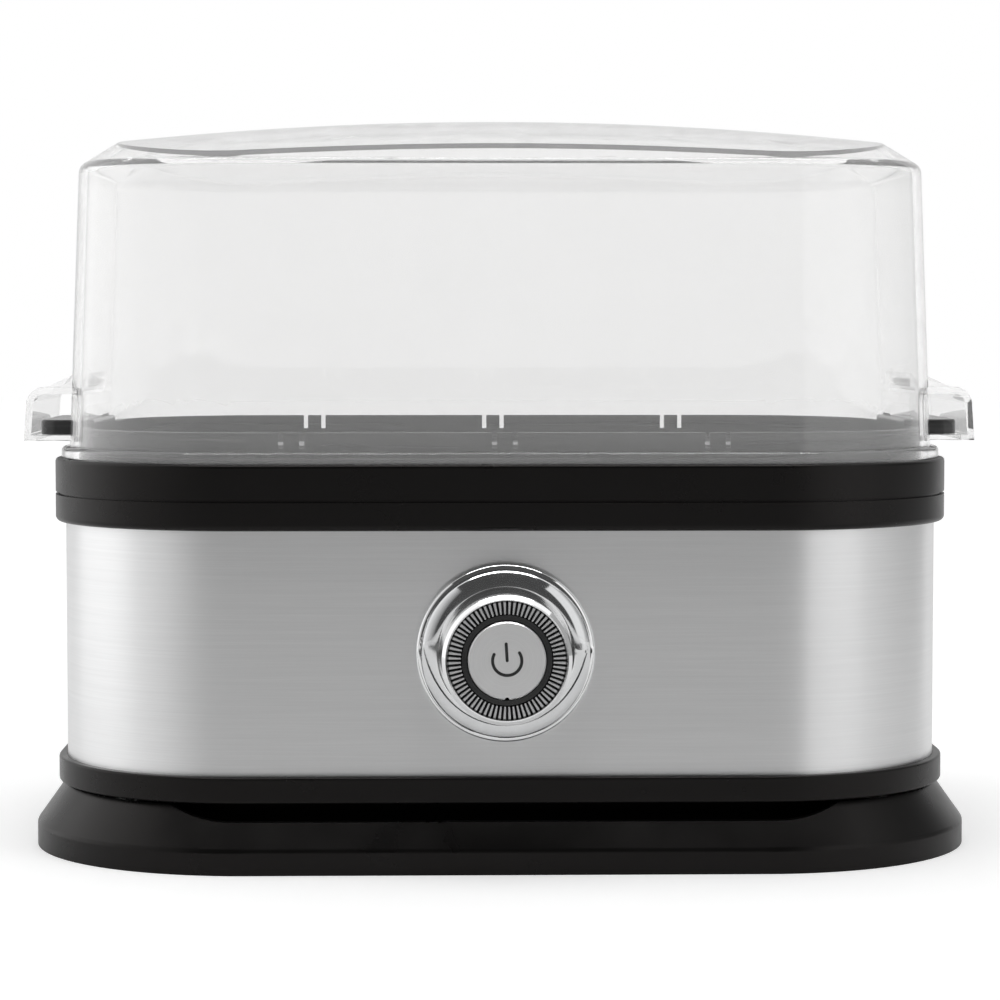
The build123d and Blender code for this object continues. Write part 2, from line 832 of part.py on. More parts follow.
def make_selector_ring():
    """Ring on the board that reads how far the hub is turned."""
    return front * ring(selector_radius, hub_radius + slide_gap, board_face, board_face + selector_height)


def led_spots():
    """Places of the lamps under the light guide's end."""
    radius = (guide_radius + guide_bore) / 2
    return [Rot(0, 0, 360 * (step + 1 / 2) / led_count) * Pos(radius, 0) for step in range(led_count)]


def make_light_guide():
    """Smoked light guide: a tube from the board to the front, with the spring's ledge."""
    guide = ring(guide_radius, guide_bore, board_face, knob_reach - guide_drop)
    guide += ring(guide_radius, stem_radius + slide_gap, ledge_top - guide_ledge, ledge_top)
    notch = Box(2 * guide_wall, led_notch, led_height + fit_gap, align=stand)
    for spot in led_spots():
        guide -= spot * Pos(0, 0, board_face) * notch
    return front * guide


def make_board_leds():
    """Lamps on the board, in the notches of the light guide."""
    led = Pos(0, 0, board_face) * Box(led_side, led_side, led_height, align=stand)
    return [front * (spot * led) for spot in led_spots()]


def make_power_button():
    """Satin disc button: a shallow cup with a key notch at six o'clock."""
    skirt_bore = button_radius - button_skirt_wall
    cup = turned(
        Polyline(
            (0, button_front),
            (button_radius - button_edge, button_front),
            (button_radius, button_front - button_edge),
            (button_radius, button_front - button_skirt),
            (skirt_bore, button_front - button_skirt),
            (skirt_bore, button_front - button_face),
            (0, button_front - button_face),
            close=True,
        )
    )
    notch = post(button_notch, button_front - button_skirt - overrun, button_front + overrun)
    return front * (cup - Pos(0, -button_radius) * notch)


def make_button_stem():
    """Rod from the button to the switch."""
    return front * post(stem_radius, stem_end, button_front - button_face)


def make_button_spring():
    """Coil between the light guide's ledge and the button's back."""
    low = ledge_top + spring_wire_radius + fit_gap
    high = button_front - button_face - spring_wire_radius - fit_gap
    path = Pos(0, 0, low) * Helix((high - low) / spring_turns, high - low, spring_radius)
    return front * sweep((path ^ 0) * Circle(spring_wire_radius), path=path, is_frenet=True)


def make_switch_body():
    """Push switch on the board, with the bore that its plunger slides in."""
    body = Box(switch_side, switch_side, switch_height, align=stand)
    body -= post(switch_bore_radius, switch_floor, switch_height)
    return front * (Pos(0, 0, board_face) * body)


def make_switch_plunger():
    """Plunger of the switch, pushed by the stem."""
    low = board_face + switch_floor + button_travel + plunger_bottom_gap
    return front * post(plunger_radius, low, stem_end)


def make_control_board():
    """Circuit board on the liner's bosses."""
    board = RectangleRounded(board_width, board_height, board_corner)
    for spot in boss_spots():
        board -= spot * Circle(screw_radius + screw_clearance)
    return front * (Pos(0, 0, board_back) * extrude(board, board_thickness))


def make_board_screws():
    """Screws through the board into the liner's bosses."""
    lift = Pos(0, 0, board_back)
    return [front * (spot * lift * screw(screw_bite)) for spot in boss_spots()]


def make_buzzer():
    """Sounder on the board's back, with its hole."""
    can = post(buzzer_radius, board_back - buzzer_height, board_back)
    can -= post(buzzer_hole_radius, board_back - buzzer_height, board_back - buzzer_height / 2)
    return front * (Pos(-boss_spread + boss_radius + buzzer_radius, 0) * can)


def make_relay():
    """Heater relay on the board's back."""
    case = Box(relay_width, relay_length, relay_height, align=stand)
    case = fillet(case.edges().filter_by(Axis.Z), board_thickness / 2)
    place = boss_spread - boss_radius - relay_width / 2
    return front * (Pos(place, 0, board_back - relay_height) * case)


def make_cord_gland():
    """Moulded gland for the mains cord in the rear wall, with its bore open."""
    gland = turned(
        Polyline(
            (gland_bore_radius, -gland_tail),
            (gland_tail_radius, -gland_tail),
            (gland_tail_radius, -liner_depth - gland_inner_flange),
            (gland_flange_radius, -liner_depth - gland_inner_flange),
            (gland_flange_radius, -liner_depth),
            (gland_radius, -liner_depth),
            (gland_radius, 0),
            (gland_flange_radius, 0),
            (gland_flange_radius, gland_flange - gland_edge),
            (gland_flange_radius - gland_edge, gland_flange),
            (gland_bore_radius, gland_flange),
            close=True,
        )
    )
    return rear * gland


def block_place():
    """Middle of the terminal block along Y."""
    return half_depth - block_wall_gap - block_depth / 2


def make_terminal_block():
    """Three-way terminal block on the pan's floor."""
    body = Box(block_width, block_depth, block_height, align=stand)
    body = Pos(0, block_place(), pan_floor_top) * body
    top = pan_floor_top + block_height
    well = post(block_well_radius, top - block_well_depth, top)
    for step in (-1, 0, 1):
        body -= Pos(step * block_pitch, block_place()) * well
    return body


def make_heater_leads():
    """Two wires from the terminal block up to the element's pins."""
    x, y = element_half()
    pin_end = element_opening / 2 - bead_length - pin_length / 2
    bottom = pan_floor_top + block_height - block_well_depth
    top = element_level - pin_radius
    wires = []
    for side in (-1, 1):
        start = side * block_pitch
        end = side * pin_end
        points = [
            (start, block_place(), bottom),
            (start, block_place(), top - lead_drop - lead_run),
            (end, y, top - lead_drop),
            (end, y, top),
        ]
        wires.append(lead(points))
    return wires


def make_board_leads():
    """Two wires from the board's back along the pan's floor to the terminal block."""
    board_y = -half_depth - board_back
    block_y = block_place() - block_depth / 2
    low = pan_floor_top + lead_radius
    high = control_level - board_height / 2 + lead_radius + board_corner
    wires = []
    for side in (-1, 1):
        x = side * lead_spacing / 2
        points = [
            (x, board_y, high),
            (x, board_y + lead_run, high),
            (x, board_y + 2 * lead_run, low),
            (x, block_y - 2 * lead_run, low),
            (x, block_y - lead_run, low + lead_run / 2),
            (x, block_y, low + lead_run / 2),
        ]
        wires.append(lead(points))
    return wires


pieces = {
    "base_foot": make_base_foot,
    "rubber_feet": make_rubber_feet,
    "base_screws": make_base_screws,
    "lower_pan": make_lower_pan,
    "steel_sleeve": make_steel_sleeve,
    "inner_liner": make_inner_liner,
    "lower_collar": make_lower_collar,
    "collar_screws": make_collar_screws,
    "pan_screws": make_pan_screws,
    "upper_collar": make_upper_collar,
    "heating_dish": make_heating_dish,
    "dish_seal": make_dish_seal,
    "heat_spreader": make_heat_spreader,
    "heating_element": make_heating_element,
    "element_pins": make_element_pins,
    "thermostat": make_thermostat,
    "thermostat_strap": make_thermostat_strap,
    "thermal_fuse": make_thermal_fuse,
    "fuse_clip": make_fuse_clip,
    "egg_tray": make_egg_tray,
    "lid": make_lid,
    "dial_bezel": make_dial_bezel,
    "bezel_nut": make_bezel_nut,
    "dial_knob": make_dial_knob,
    "dial_retainer": make_dial_retainer,
    "selector_ring": make_selector_ring,
    "light_guide": make_light_guide,
    "board_leds": make_board_leds,
    "power_button": make_power_button,
    "button_stem": make_button_stem,
    "button_spring": make_button_spring,
    "switch_body": make_switch_body,
    "switch_plunger": make_switch_plunger,
    "control_board": make_control_board,
    "board_screws": make_board_screws,
    "buzzer": make_buzzer,
    "relay": make_relay,
    "cord_gland": make_cord_gland,
    "terminal_block": make_terminal_block,
    "heater_leads": make_heater_leads,
    "board_leads": make_board_leads,
}

os.makedirs("parts", exist_ok=True)
for name, make in pieces.items():
    shape = make()
    if isinstance(shape, list):
        shape = Compound(children=shape)
    export_step(shape, f"parts/{name}.step")
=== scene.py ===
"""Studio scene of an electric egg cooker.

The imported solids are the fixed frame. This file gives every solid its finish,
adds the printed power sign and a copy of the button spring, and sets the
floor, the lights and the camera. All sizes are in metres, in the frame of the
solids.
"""

from __future__ import annotations

import logging
import math
from dataclasses import dataclass
from enum import Enum
from typing import Any, Iterable, Sequence

import bmesh
import bpy
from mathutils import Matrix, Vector

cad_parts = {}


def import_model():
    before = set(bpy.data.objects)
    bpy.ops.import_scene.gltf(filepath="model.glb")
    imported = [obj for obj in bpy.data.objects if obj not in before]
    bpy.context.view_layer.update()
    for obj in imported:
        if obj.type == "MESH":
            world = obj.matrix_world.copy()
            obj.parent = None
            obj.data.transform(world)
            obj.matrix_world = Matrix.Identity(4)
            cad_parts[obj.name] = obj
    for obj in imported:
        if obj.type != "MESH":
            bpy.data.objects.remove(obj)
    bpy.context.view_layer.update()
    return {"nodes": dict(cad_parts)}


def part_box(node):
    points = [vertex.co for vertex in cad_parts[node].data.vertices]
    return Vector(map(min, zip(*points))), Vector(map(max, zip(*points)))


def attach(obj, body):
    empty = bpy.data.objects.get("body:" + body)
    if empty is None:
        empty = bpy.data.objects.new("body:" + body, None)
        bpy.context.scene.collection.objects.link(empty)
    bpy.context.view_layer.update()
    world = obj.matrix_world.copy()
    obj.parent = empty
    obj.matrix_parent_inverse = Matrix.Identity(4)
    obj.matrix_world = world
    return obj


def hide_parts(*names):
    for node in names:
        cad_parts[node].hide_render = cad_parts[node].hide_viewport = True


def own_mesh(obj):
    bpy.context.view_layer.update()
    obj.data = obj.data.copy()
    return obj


Colour = tuple[float, float, float, float]
Point = tuple[float, float, float]
Flat = tuple[float, float]
Row = tuple[Vector, Vector, float]
Socket = bpy.types.NodeSocket

LOG = logging.getLogger("egg_cooker")
MM = 0.001
DIAL_HEIGHT = 46.15 * MM

# Range that a noise value mostly stays in, and how rough its finer waves are
NOISE_LOW = 0.3
NOISE_HIGH = 0.7
NOISE_ROUGHNESS = 0.6

# How much a level pattern is drawn out along X and Y
LEVEL_STRETCH = (0.012, 0.012, 1.0)


class Body(Enum):
    """Bodies that new pieces ride on."""

    BASE = "base"
    BUTTON = "button"


class Pattern(Enum):
    """Which coordinates a surface pattern follows."""

    CLOUD = "even in all directions"
    LEVEL = "long streaks that lie level"
    TURNED = "rings about the dial's axis"


def grey(value: float, warmth: float = 0.0) -> Colour:
    """Returns an opaque grey, warmer or cooler by a small amount."""
    return (value * (1.0 + warmth), value, value * (1.0 - warmth), 1.0)


def tinted(colour: Colour, factor: float) -> Colour:
    """Returns a colour made lighter or darker by a factor."""
    return (colour[0] * factor, colour[1] * factor, colour[2] * factor, 1.0)


def level(half: float, near: float, far: float, height: float) -> list[Point]:
    """Returns the corners of a level sheet, half to each side, from near to far along Y."""
    return [(-half, near, height), (half, near, height), (half, far, height), (-half, far, height)]


class Tree:
    """Grows nodes in a node tree."""

    def __init__(self, tree: bpy.types.NodeTree) -> None:
        """Takes the tree that the nodes go in."""
        self.tree = tree

    def feed(self, socket: Socket, value: Any) -> None:
        """Links a socket to another one, or sets its own value."""
        if isinstance(value, Socket):
            self.tree.links.new(value, socket)
        else:
            socket.default_value = value

    def add(
        self, kind: str, inputs: dict[Any, Any] | None = None, **settings: Any
    ) -> bpy.types.Node:
        """Adds a node.

        Args:
            kind: Blender's name for the node.
            inputs: values or sockets for its inputs, by name or number.
            **settings: the node's own settings.

        Returns:
            The new node.
        """
        node = self.tree.nodes.new(kind)
        for key, value in settings.items():
            setattr(node, key, value)
        for key, value in (inputs or {}).items():
            self.feed(node.inputs[key], value)
        return node

    def maths(self, operation: str, *values: Any) -> Socket:
        """Returns what a maths node makes of some values."""
        inputs = dict(enumerate(values))
        return self.add("ShaderNodeMath", inputs, operation=operation).outputs[0]

    def vector(self, operation: str, *values: Any) -> bpy.types.Node:
        """Adds a vector maths node."""
        inputs = dict(enumerate(values))
        return self.add("ShaderNodeVectorMath", inputs, operation=operation)

    def remap(
        self, value: Socket, start: float, end: float, low: float = 0.0, high: float = 1.0
    ) -> Socket:
        """Moves a value from one range to another, and holds it there.

        Args:
            value: the value.
            start: what becomes low.
            end: what becomes high.
            low: the result at start.
            high: the result at end.

        Returns:
            The result's socket.
        """
        ends = {"From Min": start, "From Max": end, "To Min": low, "To Max": high}
        return self.add("ShaderNodeMapRange", {"Value": value, **ends}).outputs["Result"]


class Graph(Tree):
    """Grows one material's nodes round its Principled shader."""

    def __init__(self, name: str) -> None:
        """Starts a material of this name."""
        self.material: bpy.types.Material = bpy.data.materials.new(name)
        self.material.use_nodes = True
        super().__init__(self.material.node_tree)
        self.shader: bpy.types.Node = self.tree.nodes["Principled BSDF"]

    def dress(self, **values: Any) -> None:
        """Feeds the Principled shader; an underscore in a name stands for a space."""
        for key, value in values.items():
            self.feed(self.shader.inputs[key.replace("_", " ")], value)

    def place(self, pattern: Pattern) -> Socket:
        """Returns the coordinates that a pattern is drawn in, as a vector."""
        source = self.add("ShaderNodeTexCoord").outputs["Object"]
        if pattern is Pattern.CLOUD:
            return source
        if pattern is Pattern.LEVEL:
            return self.vector("MULTIPLY", source, LEVEL_STRETCH).outputs[0]
        centred = self.vector("SUBTRACT", source, (0.0, 0.0, DIAL_HEIGHT)).outputs[0]
        facing = self.vector("MULTIPLY", centred, (1.0, 0.0, 1.0)).outputs[0]
        reach = self.vector("LENGTH", facing).outputs["Value"]
        return self.add("ShaderNodeCombineXYZ", {"X": reach}).outputs[0]

    def noise(self, place: Socket, scale: float, detail: float) -> Socket:
        """Returns a noise value between 0 and 1, drawn at so many waves per metre."""
        inputs = {"Vector": place, "Scale": scale, "Detail": detail, "Roughness": NOISE_ROUGHNESS}
        return self.add("ShaderNodeTexNoise", inputs).outputs["Fac"]

    def along(self, axis: str, low: float, high: float) -> Socket:
        """Returns how far a place lies from low to high along one axis, from 0 to 1."""
        split = self.add("ShaderNodeSeparateXYZ", {0: self.place(Pattern.CLOUD)})
        return self.remap(split.outputs[axis], low, high)

    def swing(self, value: Socket, middle: float, spread: float) -> Socket:
        """Returns a noise value that swings about a middle by a spread each way."""
        return self.remap(value, NOISE_LOW, NOISE_HIGH, middle - spread, middle + spread)

    def shade(self, value: Socket, first: Colour, second: Colour) -> Socket:
        """Returns a colour that goes from first to second with a noise value."""
        ramp = self.add("ShaderNodeValToRGB", {"Fac": value})
        ends = ((NOISE_LOW, first), (NOISE_HIGH, second))
        for element, (position, colour) in zip(ramp.color_ramp.elements, ends):
            element.position = position
            element.color = colour
        return ramp.outputs["Color"]

    def mottle(self, value: Socket, colour: Colour, contrast: float) -> Socket:
        """Returns a colour that a noise value makes darker and lighter by a contrast."""
        return self.shade(value, tinted(colour, 1.0 - contrast), tinted(colour, 1.0 + contrast))

    def bump(self, value: Socket, depth: float, strength: float) -> Socket:
        """Returns a normal that follows a height value of so many metres."""
        inputs = {"Height": value, "Distance": depth, "Strength": strength}
        return self.add("ShaderNodeBump", inputs).outputs["Normal"]


@dataclass(frozen=True)
class Finish:
    """A surface finish of one main colour."""

    name: str
    colour: Colour

    def build(self) -> bpy.types.Material:
        """Makes the material."""
        raise NotImplementedError


@dataclass(frozen=True)
class MouldedPlastic(Finish):
    """Opaque moulded plastic with a fine spark texture and a faint unevenness of gloss."""

    roughness: float = 0.4
    spread: float = 0.05
    shine: float = 0.4
    tint: Colour = grey(1.0)
    pattern: Pattern = Pattern.CLOUD
    clouds: float = 70.0
    cloud_detail: float = 4.0
    contrast: float = 0.14
    grain: float = 3200.0
    grain_detail: float = 2.0
    depth: float = 0.012 * MM
    relief: float = 0.5
    gloss_below: float | None = None
    gloss_edge: float = 0.2 * MM
    gloss_share: float = 0.25

    def build(self) -> bpy.types.Material:
        """Makes the material."""
        graph = Graph(self.name)
        cloud = graph.noise(graph.place(self.pattern), self.clouds, self.cloud_detail)
        spark = graph.noise(graph.place(Pattern.CLOUD), self.grain, self.grain_detail)
        rough = graph.swing(cloud, self.roughness, self.spread)
        if self.gloss_below is not None:
            above = graph.along("Z", self.gloss_below - self.gloss_edge, self.gloss_below)
            rough = graph.maths("MULTIPLY", rough, graph.remap(above, 0.0, 1.0, self.gloss_share))
        graph.dress(
            Base_Color=graph.mottle(cloud, self.colour, self.contrast),
            Roughness=rough,
            Normal=graph.bump(spark, self.depth, self.relief),
            Specular_IOR_Level=self.shine,
            Specular_Tint=self.tint,
        )
        return graph.material


@dataclass(frozen=True)
class BrushedMetal(Finish):
    """Sheet metal with fine level brush lines, whose highlights stretch upright."""

    roughness: float = 0.34
    spread: float = 0.05
    anisotropy: float = 0.8
    turn: float = 0.25
    fine: float = 5200.0
    fine_detail: float = 3.0
    coarse: float = 1300.0
    coarse_detail: float = 2.0
    lines_base: float = 0.5
    lines_scale: float = 0.75
    darkest: float = 0.94
    lightest: float = 1.05
    depth: float = 0.004 * MM
    relief: float = 0.35

    def build(self) -> bpy.types.Material:
        """Makes the material."""
        graph = Graph(self.name)
        place = graph.place(Pattern.LEVEL)
        fine = graph.noise(place, self.fine, self.fine_detail)
        coarse = graph.noise(place, self.coarse, self.coarse_detail)
        both = graph.maths("MULTIPLY_ADD", fine, coarse, self.lines_base)
        lines = graph.maths("MULTIPLY", both, self.lines_scale)
        dark = tinted(self.colour, self.darkest)
        light = tinted(self.colour, self.lightest)
        tangent = graph.add("ShaderNodeTangent", direction_type="RADIAL", axis="Z")
        graph.dress(
            Base_Color=graph.shade(lines, dark, light),
            Roughness=graph.swing(fine, self.roughness, self.spread),
            Normal=graph.bump(fine, self.depth, self.relief),
            Metallic=1.0,
            Anisotropic=self.anisotropy,
            Anisotropic_Rotation=self.turn,
            Tangent=tangent.outputs["Tangent"],
        )
        return graph.material


@dataclass(frozen=True)
class PlatedMetal(Finish):
    """Plated or polished metal with faint clouds and hairline marks in its gloss."""

    roughness: float = 0.06
    spread: float = 0.03
    clouds: float = 160.0
    cloud_detail: float = 4.0
    contrast: float = 0.04
    marks: float = 4200.0
    mark_detail: float = 2.0
    depth: float = 0.001 * MM
    relief: float = 0.2

    def build(self) -> bpy.types.Material:
        """Makes the material."""
        graph = Graph(self.name)
        place = graph.place(Pattern.CLOUD)
        cloud = graph.noise(place, self.clouds, self.cloud_detail)
        marks = graph.noise(place, self.marks, self.mark_detail)
        graph.dress(
            Base_Color=graph.mottle(cloud, self.colour, self.contrast),
            Roughness=graph.swing(cloud, self.roughness, self.spread),
            Normal=graph.bump(marks, self.depth, self.relief),
            Metallic=1.0,
        )
        return graph.material


@dataclass(frozen=True)
class TurnedMetal(Finish):
    """Metal faced on a lathe: very fine rings about the dial's axis."""

    roughness: float = 0.36
    spread: float = 0.05
    rings: float = 4200.0
    ring_detail: float = 2.0
    clouds: float = 260.0
    cloud_detail: float = 3.0
    contrast: float = 0.04
    depth: float = 0.003 * MM
    relief: float = 0.3

    def build(self) -> bpy.types.Material:
        """Makes the material."""
        graph = Graph(self.name)
        rings = graph.noise(graph.place(Pattern.TURNED), self.rings, self.ring_detail)
        cloud = graph.noise(graph.place(Pattern.CLOUD), self.clouds, self.cloud_detail)
        graph.dress(
            Base_Color=graph.mottle(rings, self.colour, self.contrast),
            Roughness=graph.swing(cloud, self.roughness, self.spread),
            Normal=graph.bump(rings, self.depth, self.relief),
            Metallic=1.0,
        )
        return graph.material


@dataclass(frozen=True)
class SerratedChrome(Finish):
    """Chrome knob whose toothed face is satin, with painted shade in the gaps between its teeth and in
    the groove round them.
    """

    face_radius: float = 12.42 * MM
    face_level: float = -83.6 * MM
    tooth_depth: float = 0.5 * MM
    fill_share: float = 0.6
    groove_radius: float = 12.0 * MM
    edge: float = 0.05 * MM
    # How dark the painted shade in the tooth gaps and the groove makes the chrome
    gap_shade: float = 0.18
    # Share of that painted shade that the tooth tops get
    satin: float = 0.3
    satin_rise: float = 0.24
    roughness: float = 0.07
    spread: float = 0.028
    clouds: float = 160.0
    cloud_detail: float = 4.0

    def build(self) -> bpy.types.Material:
        """Makes the material."""
        graph = Graph(self.name)
        split = graph.add("ShaderNodeSeparateXYZ", {0: graph.place(Pattern.TURNED)})
        reach = split.outputs["X"]
        inside = graph.remap(reach, self.face_radius, self.face_radius - self.edge)
        floor = self.face_level + self.fill_share * self.tooth_depth
        deep = graph.along("Y", self.face_level, floor)
        share = graph.remap(deep, 0.0, 1.0, self.satin)
        groove = graph.remap(reach, self.groove_radius, self.groove_radius + self.edge)
        # Painted shade: the colour darkens towards the bottom of the tooth gaps and in the groove, and
        # the tooth tops get a share of it
        dark = graph.maths("MULTIPLY", inside, graph.maths("MAXIMUM", share, groove))
        cloud = graph.noise(graph.place(Pattern.CLOUD), self.clouds, self.cloud_detail)
        ramp = graph.add("ShaderNodeValToRGB", {"Fac": dark})
        ramp.color_ramp.elements[0].color = self.colour
        ramp.color_ramp.elements[1].color = tinted(self.colour, self.gap_shade)
        gloss = graph.swing(cloud, self.roughness, self.spread)
        graph.dress(
            Base_Color=ramp.outputs["Color"],
            Roughness=graph.maths("MULTIPLY_ADD", inside, self.satin_rise, gloss),
            Metallic=1.0,
        )
        return graph.material


@dataclass(frozen=True)
class ClearPlastic(Finish):
    """Clear moulded plastic with faint flow marks, which lets lamp light through."""

    index: float = 1.2
    haze: float = 0.08
    roughness: float = 0.01
    coat: float = 0.6
    coat_index: float = 1.5
    flow: float = 30.0
    flow_detail: float = 2.0
    contrast: float = 0.006

    def build(self) -> bpy.types.Material:
        """Makes the material."""
        graph = Graph(self.name)
        flow = graph.noise(graph.place(Pattern.CLOUD), self.flow, self.flow_detail)
        graph.dress(
            Base_Color=graph.mottle(flow, self.colour, self.contrast),
            Roughness=self.roughness,
            Transmission_Weight=1.0 - self.haze,
            IOR=self.index,
            Coat_Weight=self.coat,
            Coat_Roughness=self.roughness,
            Coat_IOR=self.coat_index,
        )
        shadow = graph.add("ShaderNodeLightPath").outputs["Is Shadow Ray"]
        through = graph.add("ShaderNodeBsdfTransparent", {"Color": self.colour}).outputs[0]
        inputs = {0: shadow, 1: graph.shader.outputs[0], 2: through}
        mix = graph.add("ShaderNodeMixShader", inputs)
        graph.feed(graph.tree.nodes["Material Output"].inputs["Surface"], mix.outputs[0])
        return graph.material


@dataclass(frozen=True)
class Speckled(Finish):
    """Ceramic, rubber or board surface with fine specks of a second colour."""

    second: Colour
    roughness: float = 0.6
    spread: float = 0.08
    specks: float = 1800.0
    speck_detail: float = 3.0
    clouds: float = 120.0
    cloud_detail: float = 2.0
    depth: float = 0.01 * MM
    relief: float = 0.5
    shine: float = 0.4

    def build(self) -> bpy.types.Material:
        """Makes the material."""
        graph = Graph(self.name)
        place = graph.place(Pattern.CLOUD)
        specks = graph.noise(place, self.specks, self.speck_detail)
        cloud = graph.noise(place, self.clouds, self.cloud_detail)
        graph.dress(
            Base_Color=graph.shade(specks, self.colour, self.second),
            Roughness=graph.swing(cloud, self.roughness, self.spread),
            Normal=graph.bump(specks, self.depth, self.relief),
            Specular_IOR_Level=self.shine,
        )
        return graph.material


# Colours and finishes that more than one piece or sub-assembly uses
BLACK = grey(0.0022, 0.02)
WARM = (1.0, 0.94, 0.92, 1.0)
CHROME = grey(0.84, -0.004)
RESIST = (0.02, 0.16, 0.06, 1.0)
ZINC = PlatedMetal("zinc_plate", grey(0.66, 0.01), roughness=0.28, spread=0.08)


class Workshop:
    """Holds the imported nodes, and gives them their finishes."""

    def __init__(self, nodes: dict[str, bpy.types.Object]) -> None:
        """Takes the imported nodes, by name."""
        self.nodes = nodes
        self.made: dict[Finish, bpy.types.Material] = {}

    def material(self, finish: Finish) -> bpy.types.Material:
        """Returns a finish's material, made once."""
        if finish not in self.made:
            self.made[finish] = finish.build()
        return self.made[finish]

    def dress(self, finish: Finish, names: Iterable[str]) -> None:
        """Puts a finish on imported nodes.

        Args:
            finish: the finish.
            names: the nodes' names.
        """
        for name in names:
            for slot in self.nodes[name].material_slots:
                slot.material = self.material(finish)
            LOG.info("%s: %s", name, finish.name)

    def add(
        self, name: str, data: bpy.types.Mesh, finish: Finish, body: Body, slot: str
    ) -> bpy.types.Object:
        """Makes a new piece that rides on a body.

        Args:
            name: the piece's name.
            data: its mesh.
            finish: its finish.
            body: the body that carries it.
            slot: not used.

        Returns:
            The new object.
        """
        data.materials.clear()
        data.materials.append(self.material(finish))
        piece = bpy.data.objects.new(name, data)
        bpy.context.scene.collection.objects.link(piece)
        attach(piece, body.value)
        LOG.info("%s: new piece on %s", name, body.value)
        return piece


@dataclass
class Housing:
    """Foot, pan, steel sleeve and collars, with the screws and the liner behind them."""

    shop: Workshop
    black: Finish = MouldedPlastic("satin_black_plastic", BLACK, 0.3, shine=0.22, tint=WARM)
    pan: Finish = MouldedPlastic(
        "pan_black_plastic", BLACK, 0.3, shine=0.22, tint=WARM, gloss_below=14.0 * MM
    )
    steel: Finish = BrushedMetal("brushed_steel", grey(0.8, -0.002))
    liner: Finish = MouldedPlastic("liner_plastic", grey(0.08), roughness=0.5)
    rubber: Finish = Speckled("pad_rubber", grey(0.02), grey(0.032), roughness=0.75)

    def finish(self) -> None:
        """Dresses the housing's pieces."""
        self.shop.dress(self.black, ("base_foot", "lower_collar", "upper_collar"))
        self.shop.dress(self.pan, ("lower_pan",))
        self.shop.dress(self.steel, ("steel_sleeve",))
        self.shop.dress(self.liner, ("inner_liner",))
        self.shop.dress(self.rubber, ("rubber_feet",))
        self.shop.dress(ZINC, ("base_screws", "pan_screws", "collar_screws", "board_screws"))


@dataclass
class Cooker:
    """Lid, tray, water dish and the heater under it."""

    shop: Workshop
    clear: Finish = ClearPlastic("clear_plastic", grey(0.94, 0.001))
    # Its strong level streaks of colour are painted reflection streaks; the same streaks also vary its
    # roughness
    tray: Finish = MouldedPlastic(
        "tray_plastic",
        grey(0.022),
        roughness=0.24,
        shine=0.5,
        pattern=Pattern.LEVEL,
        clouds=520.0,
        contrast=0.7,
    )
    dish: Finish = BrushedMetal("dish_steel", grey(0.64), roughness=0.24, anisotropy=0.3)
    seal: Finish = Speckled("seal_silicone", grey(0.52, 0.02), grey(0.6, 0.02), roughness=0.55)
    spreader: Finish = PlatedMetal("spreader_aluminium", grey(0.72), roughness=0.4, spread=0.08)
    element: Finish = PlatedMetal(
        "element_tube", (0.3, 0.27, 0.24, 1.0), roughness=0.42, spread=0.1
    )
    glaze: Finish = Speckled(
        "white_glaze", grey(0.78, 0.02), grey(0.7, 0.03), roughness=0.3, specks=900.0
    )

    def finish(self) -> None:
        """Dresses the cooker's pieces."""
        self.shop.dress(self.clear, ("lid",))
        self.shop.dress(self.tray, ("egg_tray",))
        self.shop.dress(self.dish, ("heating_dish",))
        self.shop.dress(self.seal, ("dish_seal",))
        self.shop.dress(self.spreader, ("heat_spreader",))
        self.shop.dress(self.element, ("heating_element",))
        self.shop.dress(self.glaze, ("element_pins", "thermostat", "thermal_fuse"))
        self.shop.dress(ZINC, ("thermostat_strap", "fuse_clip"))


